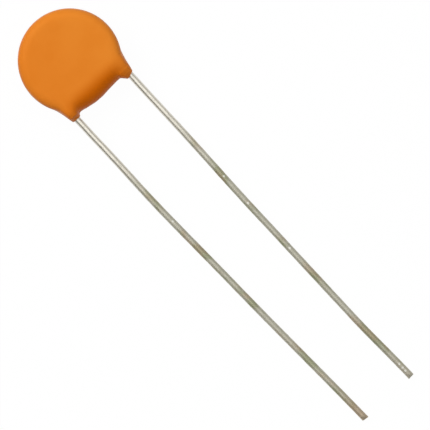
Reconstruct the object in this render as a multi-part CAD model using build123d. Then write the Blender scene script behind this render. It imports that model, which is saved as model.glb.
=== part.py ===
"""Ceramic disc capacitor: a fired disc between two soldered wires, dipped in resin. Millimetres.

The pieces are drawn about the middle of the disc, with the wires running off along +X, the wire
pitch along Y and the front face up. The whole part is then tipped and moved to lie as it would
come to rest: on the lower edge of its rear face and on the cut ends of its two wires.
"""

from build123d import *
from math import degrees, radians, sqrt, tan
import os

# Fired disc and its two silver films
ceramic_diameter = 6.0
ceramic_thickness = 0.8
ceramic_edge_bevel = 0.08
electrode_margin = 0.3
electrode_thickness = 0.04

# Wires
wire_diameter = 0.5
lead_pitch = 5.0
lead_length = 30.2
front_lean = 1.06
rear_lean = -0.1
kink_angle = 35.0
kink_clearance = 0.02
bend_radius = 0.6
wire_end_past_middle = 1.4
wire_end_off_middle = 1.0
shear_angle = 8.0

# Solder that holds each wire on its silver film
solder_film = 0.05
solder_cover = 0.05
solder_width = 1.3
solder_length = 2.4
solder_flank_angle = 24.0

# Resin coat
coat_rim = 0.75
coat_over_solder = 0.26
coat_below_disc = 0.3
rim_rounding = 0.8
slope_length = 0.5
slope_foot = 0.2
slope_rounding = 0.6
slope_crest = 0.02
skirt_thickness = 1.3
skirt_land = 0.12
skirt_wall = 0.17
skirt_depth = 1.5
skirt_overlap = 0.1
skirt_corner = 0.42
skirt_rounding = 0.34
skirt_blend = 0.08
horn_wall = 0.22
horn_depth = 0.5
horn_feather = 0.04
front_horn_length = 0.16
rear_horn_length = 0.42

# Places that follow from the sizes
wire_radius = wire_diameter / 2
ceramic_radius = ceramic_diameter / 2
electrode_radius = ceramic_radius - electrode_margin
film_top = ceramic_thickness / 2 + electrode_thickness
wire_height = film_top + solder_film + wire_radius
solder_height = solder_film + wire_diameter + solder_cover
coat_radius = ceramic_radius + coat_rim
coat_half = film_top + solder_height + coat_over_solder
coat_edge = ceramic_radius + coat_below_disc
wire_y = lead_pitch / 2
wire_tip = coat_edge + lead_length

# The wire leaves the mid plane where it has cleared the rim of the ceramic disc
rim_under_wire = sqrt(ceramic_radius**2 - (wire_y - wire_radius) ** 2)
kink_inner = rim_under_wire + kink_clearance
kink_outer = kink_inner + wire_height / tan(radians(kink_angle))


def to_rear(shape):
    """Turn a piece of the front side about the wires' direction, to where the rear one lies."""
    return Rotation(180, 0, 0) * shape


def ceramic_disc():
    disc = Cylinder(ceramic_radius, ceramic_thickness)
    return chamfer(disc.edges().filter_by(GeomType.CIRCLE), ceramic_edge_bevel)


def front_electrode():
    film = Cylinder(electrode_radius, electrode_thickness)
    return Pos(0, 0, film_top - electrode_thickness / 2) * film


def front_lead(lean):
    """A wire from its end on the disc face, through the kink, to its sheared tip."""
    inner_end = (-wire_end_past_middle, -wire_end_off_middle, wire_height)
    on_face = (kink_inner, -wire_y, wire_height)
    in_mid_plane = (kink_outer, -wire_y, 0)
    tip_y = -wire_y + (wire_tip - kink_outer) * tan(radians(lean))
    over_tip = wire_radius * tan(radians(shear_angle + abs(lean)))
    stretch = (wire_tip + over_tip - kink_outer) / (wire_tip - kink_outer)
    past_tip = (
        kink_outer + (wire_tip - kink_outer) * stretch,
        -wire_y + (tip_y + wire_y) * stretch,
        0,
    )
    path = FilletPolyline(inner_end, on_face, in_mid_plane, past_tip, radius=bend_radius)
    start = Plane(origin=path @ 0, z_dir=path % 0)
    wire = sweep(start * Circle(wire_radius), path=path)
    # The shears left the end a little out of square
    waste = Box(lead_length, lead_length, lead_length, align=(Align.MIN, Align.CENTER, Align.CENTER))
    return wire - Pos(wire_tip, tip_y, 0) * Rotation(0, 0, -shear_angle) * waste


def front_solder(lead):
    """A low bead along the wire, from just past its end, with the wire's own room cut out."""
    end = Vector(-wire_end_past_middle, -wire_end_off_middle, film_top)
    along = (Vector(kink_inner, -wire_y, film_top) - end).normalized()
    on_film = Plane(origin=end + along * (solder_length / 2), x_dir=along, z_dir=(0, 0, 1))
    foot = on_film * SlotCenterToCenter(solder_length, solder_width)
    return extrude(foot, solder_height, taper=solder_flank_angle) - lead


def puck():
    """The round of the coat: a thick disc with a rounded rim."""
    disc = Cylinder(coat_radius, 2 * coat_half)
    return fillet(disc.edges().filter_by(GeomType.CIRCLE), rim_rounding)


def side_profile():
    """A block over the puck whose ends slope down to the foot, inside the skirt."""
    far = -2 * coat_radius
    top = coat_half + slope_crest
    half_skirt = skirt_thickness / 2
    meeting = coat_edge - skirt_rounding - skirt_land
    slope_start = meeting - slope_length
    steepness = (top - half_skirt) / slope_length
    half_foot = half_skirt - slope_foot
    foot = meeting + slope_foot / steepness
    outline = FilletPolyline(
        (far, 0, top),
        (slope_start, 0, top),
        (foot, 0, half_foot),
        (foot, 0, -half_foot),
        (slope_start, 0, -top),
        (far, 0, -top),
        radius=(slope_rounding, 0, 0, slope_rounding),
    )
    closing = Line((far, 0, -top), (far, 0, top))
    face = make_face([outline, closing])
    return extrude(face, 2 * coat_radius, both=True, dir=(0, 1, 0))


def skirt():
    """The thin lower edge of the coat, which takes in both wires and widens up to the puck."""
    back = coat_edge - skirt_depth
    front_half = wire_y + wire_radius + skirt_wall
    back_half = sqrt(coat_radius**2 - back**2) - skirt_overlap
    outline = make_face(
        Polyline(
            (back, -back_half),
            (coat_edge, -front_half),
            (coat_edge, front_half),
            (back, back_half),
            close=True,
        )
    )
    outline = fillet(outline.vertices().sort_by(Axis.X)[-2:], skirt_corner)
    plate = extrude(outline, skirt_thickness / 2, both=True)
    flat_sides = plate.faces().sort_by(Axis.Z)
    rims = flat_sides[0].edges() + flat_sides[-1].edges()
    return fillet(rims.filter_by_position(Axis.X, back + skirt_corner, coat_edge), skirt_rounding)


def front_horn(lean, length):
    """Resin drawn a little way out along a wire, where it ends in a thin feather."""
    root = coat_edge - horn_depth
    tip = coat_edge + length
    outline = Polyline(
        (root, 0),
        (root, wire_radius + horn_wall),
        (tip, wire_radius + horn_feather),
        (tip, 0),
        close=True,
    )
    cone = revolve(make_face(outline), Axis.X)
    return Pos(coat_edge, -wire_y, 0) * Rotation(0, 0, lean) * Pos(-coat_edge, 0, 0) * cone


def coat_form():
    """The outside of the coat: puck, skirt and horns run together, as the resin did."""
    round_part = puck() & side_profile()
    thin_part = skirt()
    form = round_part + thin_part
    form = fillet(new_edges(round_part, thin_part, combined=form), skirt_blend)
    form = form + front_horn(front_lean, front_horn_length)
    return form + to_rear(front_horn(rear_lean, rear_horn_length))


def resin_coat(inside):
    """The coat fills all the room between its outside and what it was dipped over."""
    coat = coat_form()
    for piece in inside:
        coat = coat - piece
    return coat


def build():
    parts = {}
    parts["ceramic_disc"] = ceramic_disc()
    parts["front_electrode"] = front_electrode()
    parts["rear_electrode"] = to_rear(front_electrode())
    parts["front_lead"] = front_lead(front_lean)
    parts["rear_lead"] = to_rear(front_lead(rear_lean))
    parts["front_solder"] = front_solder(front_lead(front_lean))
    parts["rear_solder"] = to_rear(front_solder(front_lead(rear_lean)))
    parts["resin_coat"] = resin_coat(list(parts.values()))
    return parts


def lowest(shape, tilt):
    return (Rotation(0, tilt, 0) * shape).bounding_box().min.Z


def rest_tilt(parts):
    """The tilt at which the coat and the wire ends touch one level floor."""
    coat = coat_form()
    tilt = 0.0
    for _ in range(5):
        wire_gap = lowest(parts["front_lead"], tilt) - lowest(coat, tilt)
        tilt = tilt + degrees(wire_gap / lead_length)
    return tilt


def lay_down(parts):
    """Tip the part onto its wire ends and put the middle of its footprint at the origin."""
    tilt = rest_tilt(parts)
    tipped = {name: Rotation(0, tilt, 0) * piece for name, piece in parts.items()}
    box = Compound([piece.solid() for piece in tipped.values()]).bounding_box()
    middle = box.center()
    placing = Pos(-middle.X, -middle.Y, -box.min.Z) * Rotation(0, tilt, 0)
    return {name: placing * piece.solid() for name, piece in parts.items()}, placing


parts, placing = lay_down(build())
os.makedirs("parts", exist_ok=True)
for name, piece in parts.items():
    export_step(piece, f"parts/{name}.step")
print("laid down at", placing.position, "turned", placing.orientation)
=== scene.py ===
# %% [markdown]
# # A ceramic disc capacitor
#
# The part is a small fired disc with a wire soldered to each face. It was held by the wires and
# dipped in orange resin, so the resin is thick over the disc, thin where it runs down to the wires,
# and ends in a short sleeve on each of them. This lesson models that coat and the two wires, gives
# each of them a finish, and lights them for a camera that looks straight down.
#
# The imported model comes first, because everything that is modelled here is laid over it: the place
# of its disc and the height at which it lies say where the new pieces go.

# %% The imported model
import math
import bmesh
import bpy
from mathutils import Matrix, Vector


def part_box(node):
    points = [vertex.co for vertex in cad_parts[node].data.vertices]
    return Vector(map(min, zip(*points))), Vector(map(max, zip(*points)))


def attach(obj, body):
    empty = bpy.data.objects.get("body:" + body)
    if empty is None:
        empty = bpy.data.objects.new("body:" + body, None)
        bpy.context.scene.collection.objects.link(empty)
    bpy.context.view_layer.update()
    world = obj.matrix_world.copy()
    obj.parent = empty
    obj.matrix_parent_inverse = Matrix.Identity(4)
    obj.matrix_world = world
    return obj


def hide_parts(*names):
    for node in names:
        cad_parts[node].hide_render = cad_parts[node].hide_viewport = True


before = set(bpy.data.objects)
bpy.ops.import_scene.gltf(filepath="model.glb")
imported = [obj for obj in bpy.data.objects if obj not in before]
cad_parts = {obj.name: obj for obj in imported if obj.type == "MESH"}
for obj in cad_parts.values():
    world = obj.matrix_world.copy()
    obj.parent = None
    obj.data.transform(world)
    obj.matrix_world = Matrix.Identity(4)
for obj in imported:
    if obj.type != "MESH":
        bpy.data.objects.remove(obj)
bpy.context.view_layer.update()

mm = 0.001

for name in sorted(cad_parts):
    low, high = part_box(name)
    sides = [round((b - a) / mm, 2) for a, b in zip(low, high)]
    print(name, "measures", sides, "mm")

# %% [markdown]
# ## A bench to work on
#
# The part lies tipped by about two degrees, on the edge of its coat and on its wire ends. It is
# easier to model it level, in millimetres, with the middle of the disc at the origin and the wires
# running along X, and to lay each finished piece down at the end. One matrix does that: it scales
# to metres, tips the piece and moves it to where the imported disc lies.

# %% From the bench to the floor
wire_radius = 0.25
wire_tip = 33.5

disc_low, disc_high = (Vector(corner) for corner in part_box("ceramic_disc"))
disc_middle = (disc_low + disc_high) / 2
tip_drop = disc_middle.z / mm - wire_radius
tilt = math.asin(tip_drop / wire_tip)
laying = Matrix.Translation(disc_middle) @ Matrix.Rotation(tilt, 4, "Y") @ Matrix.Scale(mm, 4)
print("the middle of the disc is at", [round(c / mm, 2) for c in disc_middle], "mm")
print("the part is tipped by", round(math.degrees(tilt), 2), "degrees")


def start_piece():
    """Leave edit mode and every selection, so that the next operator meets only its own piece."""
    if bpy.context.mode != "OBJECT":
        bpy.ops.object.mode_set(mode="OBJECT")
    bpy.ops.object.select_all(action="DESELECT")


def take(piece):
    """Make one piece the selected and active one."""
    start_piece()
    piece.select_set(True)
    bpy.context.view_layer.objects.active = piece


def lay_down(piece, name):
    """Put a finished piece in its place on the floor, at real size, and name it."""
    take(piece)
    piece.matrix_world = laying @ piece.matrix_world
    bpy.ops.object.transform_apply(location=True, rotation=True, scale=True)
    piece.name = name
    piece.data.name = name
    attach(piece, "root")
    size = [round(side / mm, 2) for side in piece.dimensions]
    print(name, "has", len(piece.data.polygons), "faces and measures", size, "mm")


# %% [markdown]
# ## The camera
#
# The picture was taken from straight above, with the wires running down to the right. A camera that
# is not turned looks straight down already, so it only needs a turn about Z. Its place follows from
# where the disc stands in the picture: so many pixels from the middle, at so many pixels a
# millimetre. A long lens from far off keeps the round of the disc free of perspective.

# %% A camera straight above
image_size = 430
pixels_per_mm = 13.88
disc_pixel = (69.74, 60.39)
camera_turn = math.radians(47.15)
camera_height = 0.4

right = Vector((math.cos(camera_turn), math.sin(camera_turn), 0))
up = Vector((-math.sin(camera_turn), math.cos(camera_turn), 0))
along_right = (image_size / 2 - disc_pixel[0]) / pixels_per_mm * mm
along_up = (disc_pixel[1] - image_size / 2) / pixels_per_mm * mm
view_middle = disc_middle + along_right * right + along_up * up

start_piece()
bpy.ops.object.camera_add(
    location=(view_middle.x, view_middle.y, camera_height), rotation=(0, 0, camera_turn)
)
camera = bpy.context.object
camera.name = "camera"
view_width = image_size / pixels_per_mm * mm
camera.data.lens = camera.data.sensor_width * (camera_height - disc_middle.z) / view_width
camera.data.clip_start = 0.01
bpy.context.scene.camera = camera
print("the view is", round(view_width / mm, 2), "mm wide")
print("the lens is", round(camera.data.lens), "mm long")

# %% [markdown]
# ## Shader maths as plain sums
#
# A procedural finish is a sum of patterns. Written out node by node it is long, so this class wraps
# one output of a node, and a sum written in Python adds the Math node that works it out. Any other
# kind of node comes from the one method named add.

# %% A value in a shader


class Shade:
    """One output in a node tree. Sums of it with numbers or other outputs add Math nodes."""

    def __init__(self, tree, socket=None):
        self.tree = tree
        self.socket = socket

    def add(self, kind, settings, inputs, output=0):
        """A node of that kind, its settings first, then the values or links of its sockets."""
        node = self.tree.nodes.new(kind)
        for name, value in settings.items():
            setattr(node, name, value)
        for name, value in inputs.items():
            if isinstance(value, Shade):
                self.tree.links.new(value.socket, node.inputs[name])
            else:
                node.inputs[name].default_value = value
        return Shade(self.tree, node.outputs[output])

    def maths(self, operation, first, second):
        """A Math node on two values, in the order in which they are written."""
        return self.add("ShaderNodeMath", {"operation": operation}, {0: first, 1: second})

    def __add__(self, other):
        return self.maths("ADD", self, other)

    def __radd__(self, other):
        return self.maths("ADD", other, self)

    def __sub__(self, other):
        return self.maths("SUBTRACT", self, other)

    def __rsub__(self, other):
        return self.maths("SUBTRACT", other, self)

    def __mul__(self, other):
        return self.maths("MULTIPLY", self, other)

    def __rmul__(self, other):
        return self.maths("MULTIPLY", other, self)

    def noise(self, size, detail=2.0, rough=0.5):
        """Clouds with lumps of about that size in millimetres, read at this place."""
        numbers = {"Vector": self, "Scale": 1 / (size * mm), "Detail": detail, "Roughness": rough}
        return self.add("ShaderNodeTexNoise", {}, numbers)

    def between(self, low, high):
        """0 below low, 1 above high, and a smooth rise from the one to the other."""
        settings = {"interpolation_type": "SMOOTHSTEP"}
        return self.add("ShaderNodeMapRange", settings, {"Value": self, 1: low, 2: high})

    def blend(self, first, second):
        """The first colour where this is 0, the second where it is 1."""
        inputs = {0: self, 6: first, 7: second}
        return self.add("ShaderNodeMix", {"data_type": "RGBA"}, inputs, output=2)

    def stretched(self, scale):
        """This place with its axes scaled, so that a pattern read from it is drawn out."""
        return self.add("ShaderNodeVectorMath", {"operation": "MULTIPLY"}, {0: self, 1: scale})

    def distance_to(self, point):
        """How far this place is from a point."""
        settings = {"operation": "DISTANCE"}
        return self.add("ShaderNodeVectorMath", settings, {0: self, 1: point}, output="Value")

    def axis(self, name):
        """The X, Y or Z of this place."""
        return self.add("ShaderNodeSeparateXYZ", {}, {"Vector": self}, output=name)

    def bump(self, height):
        """A normal that stands for this height, given in millimetres."""
        return self.add("ShaderNodeBump", {}, {"Height": self, "Distance": height * mm})


# %% [markdown]
# A finish has values that are the same all over, which are set on its shader, and values that change
# from place to place, which are linked to it. These helpers keep the two apart.

# %% A finish and its shader


def new_material(name, **steady):
    """A new material with those steady values. Returns it, its shader and the place in it."""
    material = bpy.data.materials.new(name)
    material.use_nodes = True
    tree = material.node_tree
    surface = tree.nodes["Principled BSDF"]
    for socket, value in steady.items():
        surface.inputs[socket.replace("_", " ")].default_value = value
    place = Shade(tree).add("ShaderNodeTexCoord", {}, {}, output="Object")
    return material, surface, place


def feed(surface, **changing):
    """Link values that change over the surface to the sockets of its shader."""
    for socket, value in changing.items():
        surface.id_data.links.new(value.socket, surface.inputs[socket.replace("_", " ")])


def dress(piece, material):
    """Give a piece that one material."""
    piece.data.materials.clear()
    piece.data.materials.append(material)
    print(piece.name, "is finished in", material.name)


# %% [markdown]
# ## The floor and the light
#
# A white floor shows pure white only if it is lit a little more than the object can bear, and it
# throws so much light back up that the rim of the coat turns pale. So the floor is part plain grey
# paint, which takes the shadow and leaves the sides of the coat a little darker, and part glow that
# only the camera and reflections see and that makes it white to them.

# %% A white floor that keeps the shadow
floor_size = 3.0
floor_paint = (0.45, 0.45, 0.45, 1)
floor_glow = 0.94
glow_strength = 1.035
white = (1, 1, 1, 1)

start_piece()
bpy.ops.mesh.primitive_plane_add(size=floor_size)
floor = bpy.context.object
floor.name = "floor"
floor_material = bpy.data.materials.new("floor_white")
floor_material.use_nodes = True
floor_tree = floor_material.node_tree
floor_tree.nodes.clear()
start = Shade(floor_tree)
seen = 0.0
for kind in ("Camera", "Glossy", "Transmission"):
    seen = seen + start.add("ShaderNodeLightPath", {}, {}, output=f"Is {kind} Ray")
paint = start.add("ShaderNodeBsdfDiffuse", {}, {"Color": floor_paint})
glow = start.add("ShaderNodeEmission", {}, {"Color": white, "Strength": glow_strength})
lit = start.add("ShaderNodeMixShader", {}, {0: seen * floor_glow, 1: paint, 2: glow})
output = floor_tree.nodes.new("ShaderNodeOutputMaterial")
floor_tree.links.new(lit.socket, output.inputs["Surface"])
dress(floor, floor_material)
print("the floor is", floor_size, "m wide")

# %% [markdown]
# The room round the part is pale overhead and darker near the horizon, which draws the dark lines
# along the sides of a shiny wire. One side of it is a little brighter than the other.

# %% A pale room
room_low = 0.27
room_high = 0.55
low_until = 0.1
high_from = 0.8
room_slant = 0.4

world = bpy.data.worlds.new("room")
bpy.context.scene.world = world
world.use_nodes = True
room_tree = world.node_tree
sky = room_tree.nodes["Background"]
toward = Shade(room_tree).add("ShaderNodeTexCoord", {}, {}, output="Generated")
level = toward.axis("Z").between(low_until, high_from) * (room_high - room_low) + room_low
level = level * (1 + room_slant * toward.axis("Y"))
room_tree.links.new(level.socket, sky.inputs["Strength"])
sky.inputs["Color"].default_value = white
print("the room is lit at", room_low, "near the horizon and at", room_high, "overhead")

# %% [markdown]
# A big soft lamp stands to the picture's upper left. A long one hangs straight above and is set
# across the wires, so it draws the bright line along their middle.

# %% Two lamps
straight_up = Vector((0, 0, 1))
lamp_side = (0.6 * up - right).normalized()
lamp_lean = math.radians(42)
lamp_distance = 0.4
lamp_size = 0.25
lamp_power = 0.95
strip_height = 0.6
strip_width = 0.15
strip_length = 0.84
strip_power = 0.42


def hang_lamp(name, way, distance, power, **shape):
    """An area lamp that way from the disc, turned to face it."""
    facing = way.to_track_quat("Z", "Y").to_euler()
    start_piece()
    bpy.ops.object.light_add(type="AREA", location=disc_middle + distance * way, rotation=facing)
    lamp = bpy.context.object
    lamp.name = name
    lamp.data.energy = power
    for setting, value in shape.items():
        setattr(lamp.data, setting, value)
    print(name, "hangs at", [round(c, 2) for c in lamp.location], "m")


toward_lamp = math.sin(lamp_lean) * lamp_side + math.cos(lamp_lean) * straight_up
strip = {"shape": "RECTANGLE", "size": strip_width, "size_y": strip_length}
hang_lamp("soft_lamp", toward_lamp, lamp_distance, lamp_power, shape="DISK", size=lamp_size)
hang_lamp("strip_lamp", straight_up, strip_height, strip_power, **strip)
bpy.context.scene.view_settings.view_transform = "Standard"

# %% [markdown]
# ## The resin coat
#
# Dipped resin has no edges of its own: it draws up round what it was dipped over. A way to get that
# is to place plain forms where the resin lies thick, a puck over the disc, a bar along the lower edge
# and a sleeve along each wire, and to let a voxel remesh melt them into one skin that a few rounds of
# smoothing then pull taut.
#
# The puck is cut off straight where the lower edge begins. Towards the sides, where the wires run,
# its round goes on, so that much of it is kept as a flank on either side.

# %% The puck over the disc
coat_radius = 3.75
coat_half = 1.3
rim_rounding = 0.65
rim_steps = 8
round_sides = 160
slope_start = 2.15
flank_start = 2.05


def choose(kind, wanted):
    """In edit mode, select the vertices, edges or faces whose middle passes the test."""
    bpy.ops.mesh.select_mode(type=kind)
    bpy.ops.mesh.select_all(action="DESELECT")
    mesh = bpy.context.edit_object.data
    shape = bmesh.from_edit_mesh(mesh)
    for item in {"VERT": shape.verts, "EDGE": shape.edges, "FACE": shape.faces}[kind]:
        corners = [item] if kind == "VERT" else item.verts
        middle = sum((corner.co for corner in corners), Vector()) / len(corners)
        if wanted(middle):
            item.select_set(True)
    shape.select_flush_mode()
    bmesh.update_edit_mesh(mesh)


def slice_off(point, beyond):
    """In edit mode, cut through a point, close the cut and remove what lies beyond it that way."""
    bpy.ops.mesh.select_all(action="SELECT")
    bpy.ops.mesh.bisect(plane_co=point, plane_no=beyond, use_fill=True, clear_outer=True)


def cut_away(piece, point, beyond):
    """Slice off what lies beyond a point of a piece, from outside edit mode."""
    take(piece)
    bpy.ops.object.mode_set(mode="EDIT")
    slice_off(point, beyond)
    start_piece()


start_piece()
bpy.ops.mesh.primitive_cylinder_add(vertices=round_sides, radius=coat_radius, depth=2 * coat_half)
puck = bpy.context.object
bpy.ops.object.mode_set(mode="EDIT")
choose("EDGE", lambda middle: abs(middle.z) > coat_half / 2)
bpy.ops.mesh.bevel(offset=rim_rounding, segments=rim_steps, affect="EDGES")

flanks = []
for side in (-1, 1):
    take(puck)
    bpy.ops.object.duplicate()
    flanks.append(bpy.context.object)
    cut_away(flanks[-1], (0, side * flank_start, 0), (0, -side, 0))
cut_away(puck, (slope_start, 0, 0), (1, 0, 0))
print("the puck has", len(puck.data.polygons), "faces, and a flank on either side")

# %% [markdown]
# Where the dipped end was pulled out of the resin, the coat rounds off over more than a millimetre.
# That lower edge is a bar of oval section. It starts flush with the flat faces of the puck, so the
# two run together without a step. It reaches out furthest in the middle, so it is pushed along from
# one end to the other and made wider or narrower at every stop. A stop gives the place across and
# how far the bar reaches there.

# %% The rounded lower edge
edge_sides = 48
edge_stops = [
    (-2.2, 1.0), (-1.97, 1.06), (-1.43, 1.2), (-0.64, 1.34),
    (0.0, 1.36), (0.71, 1.3), (1.41, 1.26), (2.2, 1.26),
]


def push(step):
    """In edit mode, extrude what is selected by one step."""
    bpy.ops.mesh.extrude_region_move(TRANSFORM_OT_translate={"value": step})


def turn_outwards():
    """In edit mode, make every face of a finished piece point outwards, and then leave it."""
    bpy.ops.mesh.select_all(action="SELECT")
    bpy.ops.mesh.normals_make_consistent(inside=False)
    start_piece()


start_piece()
first_y, first_reach = edge_stops[0]
bpy.ops.mesh.primitive_circle_add(
    vertices=edge_sides, radius=1, fill_type="NGON", rotation=(math.pi / 2, 0, 0)
)
edge = bpy.context.object
bpy.ops.object.transform_apply(location=True, rotation=True, scale=True)
bpy.ops.object.mode_set(mode="EDIT")
bpy.ops.mesh.select_all(action="SELECT")
bpy.ops.transform.resize(value=(first_reach, 1, coat_half))
bpy.ops.transform.translate(value=(slope_start, first_y, 0))
for (y, reach), (next_y, next_reach) in zip(edge_stops, edge_stops[1:]):
    push((0, next_y - y, 0))
    bpy.ops.transform.resize(value=(next_reach / reach, 1, 1))
turn_outwards()
furthest = max(reach for y, reach in edge_stops)
print("the lower edge ends", round(slope_start + furthest, 2), "mm from the middle of the disc")

# %% [markdown]
# Both wires leave through one thin web, which fills the corners between the flanks and the lower
# edge. It is a box, a little wider where it joins the puck, with its outer edges rounded.

# %% The thin web that takes in the wires
lead_pitch = 5.0
wire_y = lead_pitch / 2
web_half = 0.5
web_back = 1.6
web_front = 3.25
web_front_half = 2.86
web_back_half = 3.3
web_bevel = 0.3
web_bevel_steps = 4
hair = 0.001

start_piece()
bpy.ops.mesh.primitive_cube_add(size=1)
web = bpy.context.object
web.scale = (web_front - web_back, 2 * web_front_half, 2 * web_half)
web.location = ((web_front + web_back) / 2, 0, 0)
bpy.ops.object.transform_apply(location=True, rotation=True, scale=True)
bpy.ops.object.mode_set(mode="EDIT")
choose("FACE", lambda middle: middle.x < web_back + hair)
bpy.ops.transform.resize(value=(1, web_back_half / web_front_half, 1))
choose("EDGE", lambda middle: middle.x > web_back + hair)
bpy.ops.mesh.bevel(offset=web_bevel, segments=web_bevel_steps, affect="EDGES")
start_piece()
print("the web is", 2 * web_half, "mm thick and ends", web_front, "mm from the middle of the disc")

# %% [markdown]
# Each wire comes down from its own face of the disc and leaves through the middle of the web. The
# resin follows it like a sleeve, and ends in a lip round the wire. The front sleeve is short. It
# stays high over its wire and then drops steeply. The rear one slopes down evenly on both faces and
# reaches further out, where its lip is cut off at a slant.
#
# A sleeve is pushed along its wire like the lower edge, from a section with round corners. A stop
# gives the place along the wire, the place across, the height on the wire's face and on the other
# one, and the half width.

# %% The sleeves
corner_rounding = 0.6
corner_steps = 6
front_stops = [
    (1.7, 2.38, 1.29, 1.29, 0.62), (2.3, 2.47, 1.29, 1.24, 0.58), (2.85, 2.5, 1.26, 1.08, 0.48),
    (3.15, 2.5, 1.1, 0.88, 0.42), (3.34, 2.5, 0.6, 0.56, 0.38), (3.48, 2.5, 0.28, 0.3, 0.34),
]
rear_stops = [
    (1.7, 2.38, 1.29, 1.29, 0.62), (2.3, 2.45, 1.28, 1.25, 0.6), (2.8, 2.4, 1.16, 1.15, 0.58),
    (3.2, 2.31, 0.9, 0.98, 0.6), (3.5, 2.36, 0.62, 0.76, 0.48), (3.72, 2.45, 0.4, 0.5, 0.36),
    (3.9, 2.49, 0.3, 0.3, 0.3),
]
rear_lip = (3.74, wire_y, 0)
lip_slant = math.radians(19)


def sleeve(side, stops):
    """The resin along one wire. The front wire lies at side -1, on the upper face."""
    near = -side
    start_piece()
    bpy.ops.mesh.primitive_plane_add(size=2, rotation=(0, math.pi / 2, 0))
    made = bpy.context.object
    bpy.ops.object.transform_apply(location=True, rotation=True, scale=True)
    bpy.ops.object.mode_set(mode="EDIT")
    bpy.ops.mesh.select_all(action="SELECT")
    bpy.ops.mesh.bevel(offset=corner_rounding, segments=corner_steps, affect="VERTICES")
    here, size = Vector(), (1, 1)
    for number, (x, y, near_top, far_top, half_width) in enumerate(stops):
        there = Vector((x, side * y, near * (near_top - far_top) / 2))
        half_height = (near_top + far_top) / 2
        if number == 0:
            bpy.ops.transform.translate(value=there)
        else:
            push(there - here)
        bpy.ops.transform.resize(value=(1, half_width / size[0], half_height / size[1]))
        here, size = there, (half_width, half_height)
    turn_outwards()
    print("a sleeve of", len(made.data.polygons), "faces runs out to", round(here.x, 2), "mm")
    return made


sleeves = [sleeve(-1, front_stops), sleeve(1, rear_stops)]
cut_away(sleeves[1], rear_lip, (math.cos(lip_slant), math.sin(lip_slant), 0))

# %% [markdown]
# Joined and melted, the forms still show where they met. Smoothing pulls that out. The whole skin
# gets a few rounds, and the body many more, because the lips would melt away under so many.

# %% Melt them into one skin
voxel = 0.05
body_end = 3.15
lip_rounds = 10
body_rounds = 50
pull = 0.5


def apply_all(piece):
    """Apply every modifier of a piece, in order."""
    take(piece)
    for modifier in list(piece.modifiers):
        bpy.ops.object.modifier_apply(modifier=modifier.name)


take(puck)
for piece in flanks + [edge, web] + sleeves:
    piece.select_set(True)
bpy.ops.object.join()
coat = bpy.context.object
bpy.ops.object.transform_apply(location=True, rotation=True, scale=True)
melt = coat.modifiers.new("melt", "REMESH")
melt.mode = "VOXEL"
melt.voxel_size = voxel
apply_all(coat)
bpy.ops.object.mode_set(mode="EDIT")
bpy.ops.mesh.select_all(action="SELECT")
bpy.ops.mesh.vertices_smooth(factor=pull, repeat=lip_rounds)
choose("VERT", lambda middle: middle.x < body_end)
bpy.ops.mesh.vertices_smooth(factor=pull, repeat=body_rounds)
start_piece()
take(coat)
bpy.ops.object.shade_smooth()
lay_down(coat, "dipped_coat")
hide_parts("resin_coat")

# %% [markdown]
# ## The colour of the resin
#
# The resin is a satin orange all over, but never quite even: clouds of a slightly deeper tone and fine
# grain from its filler. The face is painted a little paler towards the rear wire, a painted light for
# the side that the light falls on more. Along the lower edge it is painted a deep red orange, partly
# resin gathered there and partly painted shade where that edge slopes away from the lamp. That painted
# shade is strongest between the wires, so it fades with the square of the place across, which is the
# same on both sides.

# %% Orange resin
orange = (0.765, 0.216, 0.018, 1)
deep_orange = (0.72, 0.185, 0.011, 1)
# painted light: a paler orange for the side of the face that the light falls on more
painted_light_orange = (0.80, 0.245, 0.024, 1)
# painted shade, partly pooled resin: a darker, redder orange for the lower edge that slopes away from
# the lamp
pooled_shade_orange = (0.655, 0.136, 0.0, 1)
warm_gleam = (1.0, 0.62, 0.25, 1)
cloud_size = 1.6
cloud_strength = 0.35
ripple_size = 0.5
grain_size = 0.12
skin_height = 0.012
satin = 0.40
painted_light_from = -2.5
painted_light_full = 3.5
# where the painted shade along the lower edge begins and ends, and how it fades beside the wires
pool_and_shade_from = 1.7
pool_and_shade_full = 2.95
pool_and_shade_half = 1.2
pool_and_shade_fade = 2.7
less_beside = 0.65

resin, surface, place = new_material(
    "orange_resin", IOR=1.5, Specular_IOR_Level=0.18, Specular_Tint=warm_gleam, Metallic=0.0
)
clouds = place.noise(cloud_size, detail=3).between(0.35, 0.75)
grain = place.noise(grain_size, detail=2)
ripples = place.noise(ripple_size, detail=2)
from_disc = place.axis("X") - disc_middle.x
across = place.axis("Y")
# painted light: the face grows paler towards the rear wire
painted_light = across.between(painted_light_from * mm, painted_light_full * mm)
beside = (across * across).between((pool_and_shade_half * mm) ** 2, (pool_and_shade_fade * mm) ** 2)
# painted shade along the lower edge, partly pooled resin, strongest between the wires
pool_and_shade = from_disc.between(pool_and_shade_from * mm, pool_and_shade_full * mm) * (1 - less_beside * beside)
tone = painted_light.blend(orange, painted_light_orange)
tone = (clouds * cloud_strength).blend(tone, deep_orange)
tone = pool_and_shade.blend(tone, pooled_shade_orange)
feed(
    surface,
    Base_Color=tone,
    Roughness=satin + 0.08 * grain + 0.05 * clouds,
    Normal=(ripples * 0.7 + grain * 0.3).bump(skin_height),
)
dress(coat, resin)

# %% [markdown]
# ## The wires
#
# Each lead is one stiff wire, half a millimetre thick. It lies along its face of the disc, is bent
# down past the rim and leaves through the middle of the coat. A wire is modelled as it is drawn: a
# circle pushed along its path, straight where it runs straight and spun where it bends.

# %% A bend in a wire
bend_radius = 0.6
bend_steps = 8


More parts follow.
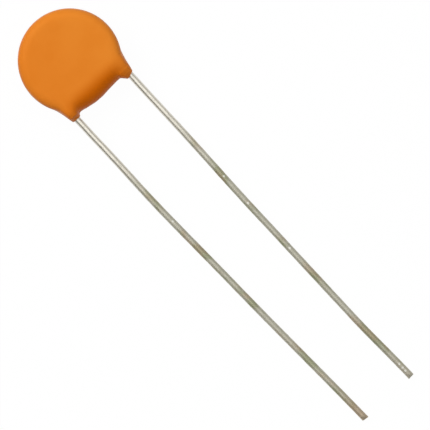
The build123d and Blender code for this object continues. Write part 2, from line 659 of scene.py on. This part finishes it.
def bend(here, corner, after):
    """Push the open end from here to the bend at a corner, and spin it round towards after."""
    before_way = (corner - here).normalized()
    after_way = (after - corner).normalized()
    turn = before_way.angle(after_way)
    reach = bend_radius * math.tan(turn / 2)
    push(corner - before_way * reach - here)
    inward = (after_way - before_way).normalized()
    bpy.ops.mesh.spin(
        steps=bend_steps,
        angle=turn,
        center=corner + inward * bend_radius / math.cos(turn / 2),
        axis=after_way.cross(before_way),
    )
    return corner + after_way * reach


# %% [markdown]
# The free ends were handled, so the wires lean a little and bow by a tenth of a millimetre or two.
# A bow is a short list of stops: the distance from the disc, and how far aside the wire is there.

# %% How a wire leans and bows
wire_height = 0.74
kink_inner = 2.0
kink_outer = 3.06
front_lean = 1.06
rear_lean = 0.1
front_bow = [(3.06, 0.0), (6.0, -0.05), (12.4, -0.18), (20.2, -0.13), (33.6, 0.0), (40, 0.0)]
rear_bow = [(3.06, 0.0), (8.4, -0.02), (17.1, -0.12), (27.6, -0.13), (33.6, 0.0), (40, 0.0)]


def bow_at(x, bow):
    """How far aside a wire is at that distance from the disc, eased from stop to stop."""
    sideways = 0.0
    for (x0, y0), (x1, y1) in zip(bow, bow[1:]):
        if x0 <= x <= x1:
            share = (x - x0) / (x1 - x0)
            share = share * share * (3 - 2 * share)
            sideways = y0 + (y1 - y0) * share
    return sideways


def middle_at(x, side, lean, bow):
    """Where the middle of a free wire runs at that distance from the disc."""
    lean_y = (x - kink_outer) * math.tan(math.radians(lean))
    return Vector((x, side * wire_y + lean_y + bow_at(x, bow), 0))


for name, bow in (("front", front_bow), ("rear", rear_bow)):
    widest = max(abs(sideways) for x, sideways in bow)
    print("the", name, "wire bows by up to", widest, "mm")

# %% [markdown]
# The wires were cut off a little out of square, and the cutters pinched their tips to a blunt wedge.
# The last stretch is therefore squeezed in height, and its very end more than the rest.

# %% The cut tip
front_cut = -8
rear_cut = 5
pinch_length = 0.2
pinch_start = 0.85
pinch_edge = pinch_length / 3
pinch_end = 0.5


def cut_tip(tip, cut_angle):
    """In edit mode, cut a wire at its tip, so far out of square, and pinch what is left of it."""
    cut = math.radians(cut_angle)
    slice_off(tip, (math.cos(cut), math.sin(cut), 0))
    choose("VERT", lambda middle: middle.x > wire_tip - pinch_length)
    bpy.ops.transform.resize(value=(1, 1, pinch_start), center_override=tip)
    choose("VERT", lambda middle: middle.x > wire_tip - pinch_edge)
    bpy.ops.transform.resize(value=(1, 1, pinch_end), center_override=tip)


# %% [markdown]
# Now a whole wire can be drawn. It starts as a circle at its end on the disc, goes through its two
# bends, follows its bow and is pushed past its tip, so that the cut has something to take away.

# %% A wire pushed along its path
wire_sides = 32
run_step = 0.12
end_past_middle = 1.4
end_off_middle = 1.0


def bowed_wire(side, lean, bow, cut_angle):
    """A lead, from its end on the disc through its two bends to its cut tip."""
    inner_end = Vector((-end_past_middle, side * end_off_middle, -side * wire_height))
    on_face = Vector((kink_inner, side * wire_y, -side * wire_height))
    in_middle = Vector((kink_outer, side * wire_y, 0))
    start_piece()
    bpy.ops.mesh.primitive_circle_add(
        vertices=wire_sides,
        radius=wire_radius,
        location=inner_end,
        rotation=(on_face - inner_end).to_track_quat("Z", "Y").to_euler(),
    )
    wire = bpy.context.object
    bpy.ops.object.transform_apply(location=True, rotation=True, scale=True)
    bpy.ops.object.mode_set(mode="EDIT")
    bpy.ops.mesh.select_mode(type="EDGE")
    bpy.ops.mesh.select_all(action="SELECT")
    here = bend(inner_end, on_face, in_middle)
    here = bend(here, in_middle, in_middle + Vector((1, 0, 0)))
    past_tip = wire_tip + 2 * wire_radius
    for _ in range(round((past_tip - here.x) / run_step)):
        there = middle_at(here.x + run_step, side, lean, bow)
        push(there - here)
        here = there
    cut_tip(middle_at(wire_tip, side, lean, bow), cut_angle)
    choose("EDGE", lambda middle: (middle - inner_end).length < 1.01 * wire_radius)
    bpy.ops.mesh.edge_face_add()
    turn_outwards()
    return wire


front_wire = bowed_wire(-1, front_lean, front_bow, front_cut)
rear_wire = bowed_wire(1, rear_lean, rear_bow, rear_cut)
print("the wires have", len(front_wire.data.polygons), "and", len(rear_wire.data.polygons), "faces")

# %% [markdown]
# A drawn wire is smooth, but tin does not lie on it evenly, and every machine that held it left a
# shallow dent. A cloud texture moves the skin by about a hundredth of a millimetre, mostly inwards:
# too little to see as shape, enough to break the long reflections.

# %% Dents and the laying down
dent_size = 0.5
dent_depth = 0.02
dent_level = 0.7
crease_angle = math.radians(40)

dents = bpy.data.textures.new("dents", "CLOUDS")
dents.noise_scale = dent_size
dents.noise_depth = 2


def dent(wire):
    """Move the skin of a wire in and out, and shade it smooth but for its cut ends."""
    dented = wire.modifiers.new("dents", "DISPLACE")
    dented.texture = dents
    dented.strength = dent_depth
    dented.mid_level = dent_level
    apply_all(wire)
    bpy.ops.object.shade_smooth_by_angle(angle=crease_angle)


wires = [(front_wire, "front_wire", "front_lead"), (rear_wire, "rear_wire", "rear_lead")]
for wire, name, lead in wires:
    dent(wire)
    lay_down(wire, name)
    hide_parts(lead)

# %% [markdown]
# ## Tinned wire
#
# Tin that has aged is a warm grey with olive and brown patches. Near the coat it is painted brighter,
# a painted highlight for the bright reflection seen along the wire there, and it is smoother; further
# down it is duller. The end of the front wire is browner, where it was handled most. Fine lines run
# along the wire from the die that drew it, so every pattern is stretched that way.
#
# A few small marks, where a tool pressed the tin, are painted near white as bright glints: one on the
# front wire, three along the rear one, and three close together near the rear one's end. A mark is
# given by its distance from the disc and its place across.

# %% The finish of the wires
# painted highlight: a brighter tin near the coat for the bright reflection seen there
highlight_tin = (0.78, 0.74, 0.64, 1)
grey_tin = (0.50, 0.49, 0.39, 1)
olive_tin = (0.40, 0.41, 0.26, 1)
brown_tin = (0.52, 0.40, 0.27, 1)
# painted glint: a near-white tin for the small tool marks
glint_tin = (0.95, 0.94, 0.88, 1)
dim_gleam = (0.6, 0.6, 0.6, 1)
highlight_until = 6.5
dull_from = 13.5
least_wear = 0.45
olive_strength = 0.85
brown_strength = 0.5
patch_size = 1.2
stain_size = 1.1
speck_size = 0.2
line_width = 0.08
tin_height = 0.012
handled_from = 30
handled_full = 32.5
handled_strength = 0.6
less_on_rear = 0.75
marks = [
    (13.55, -2.44), (13.67, 2.48), (16.27, 2.44), (20.7, 2.44),
    (32.22, 2.55), (32.58, 2.53), (32.88, 2.53),
]
mark_radius = 0.12
mark_core = 0.4 * mark_radius
glint_strength = 0.7

tin, surface, place = new_material("tinned_wire", Metallic=1.0, Specular_Tint=dim_gleam)
along = place.axis("X") - disc_middle.x
# 0 in the painted highlight near the coat, 1 where the tin is dull and patchy
wear_past_highlight = along.between(highlight_until * mm, dull_from * mm)
drawn_out = place.stretched((0.5, 1, 1))
patches = drawn_out.noise(patch_size, detail=3)
stains = drawn_out.noise(stain_size, detail=2)
specks = place.stretched((0.4, 1, 1)).noise(speck_size, detail=2)
lines = place.stretched((0.03, 1, 1)).noise(line_width, detail=1)
on_rear_wire = place.axis("Y").between(-mm, mm)
handled = along.between(handled_from * mm, handled_full * mm) * (1 - less_on_rear * on_rear_wire)
# painted glints: spots round each tool mark, painted near white
glinting = 0.0
for x, y in marks:
    spot = laying @ Vector((x, y, wire_radius))
    glinting = glinting + (1 - place.distance_to(spot).between(mark_core * mm, mark_radius * mm))
# painted highlight: bright tin near the coat, fading into duller, patchy tin further down
tone = (wear_past_highlight * (least_wear + (1 - least_wear) * patches)).blend(highlight_tin, grey_tin)
tone = (patches.between(0.48, 0.6) * olive_strength * wear_past_highlight).blend(tone, olive_tin)
tone = (stains.between(0.5, 0.64) * brown_strength * wear_past_highlight).blend(tone, brown_tin)
tone = (handled * handled_strength).blend(tone, brown_tin)
tone = (glinting * glint_strength).blend(tone, glint_tin)
feed(
    surface,
    Base_Color=tone,
    Roughness=0.26 + 0.28 * wear_past_highlight + 0.1 * specks,
    Normal=(0.5 * specks + 0.5 * lines).bump(tin_height),
)
for wire, name, lead in wires:
    dress(wire, tin)

# %% [markdown]
# ## What the coat hides
#
# The ceramic disc, its two silver films and the solder beads are never seen, but a reader who takes
# the coat off should find them finished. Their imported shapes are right, so they only get a material.

# %% Fired ceramic
clay = (0.46, 0.38, 0.30, 1)
dark_clay = (0.30, 0.24, 0.19, 1)
speckle_size = 0.08

ceramic, surface, place = new_material("fired_ceramic", Specular_IOR_Level=0.3)
speckle = place.noise(speckle_size, detail=3, rough=0.7)
feed(
    surface,
    Base_Color=speckle.between(0.4, 0.65).blend(clay, dark_clay),
    Roughness=0.7 + 0.2 * speckle,
    Normal=speckle.bump(0.02),
)

# %% Silver film
bright_silver = (0.82, 0.81, 0.78, 1)
dull_silver = (0.66, 0.65, 0.62, 1)
print_size = 0.15

silver, surface, place = new_material("silver_film", Metallic=1.0)
print_marks = place.noise(print_size, detail=3)
feed(
    surface,
    Base_Color=print_marks.between(0.3, 0.7).blend(bright_silver, dull_silver),
    Roughness=0.38 + 0.2 * print_marks,
    Normal=print_marks.bump(0.008),
)

# %% Frosted solder
bright_solder = (0.74, 0.74, 0.73, 1)
dull_solder = (0.55, 0.55, 0.55, 1)
frost_size = 0.25

solder, surface, place = new_material("frosted_solder", Metallic=1.0)
frost = place.noise(frost_size, detail=3)
feed(
    surface,
    Base_Color=frost.between(0.35, 0.7).blend(bright_solder, dull_solder),
    Roughness=0.2 + 0.25 * frost,
    Normal=frost.bump(0.02),
)

# %% Each hidden piece in its finish
finishes = {
    "ceramic_disc": ceramic,
    "front_electrode": silver,
    "rear_electrode": silver,
    "front_solder": solder,
    "rear_solder": solder,
}
for name, material in finishes.items():
    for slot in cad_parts[name].material_slots:
        slot.material = material
    print(name, "is finished in", material.name)
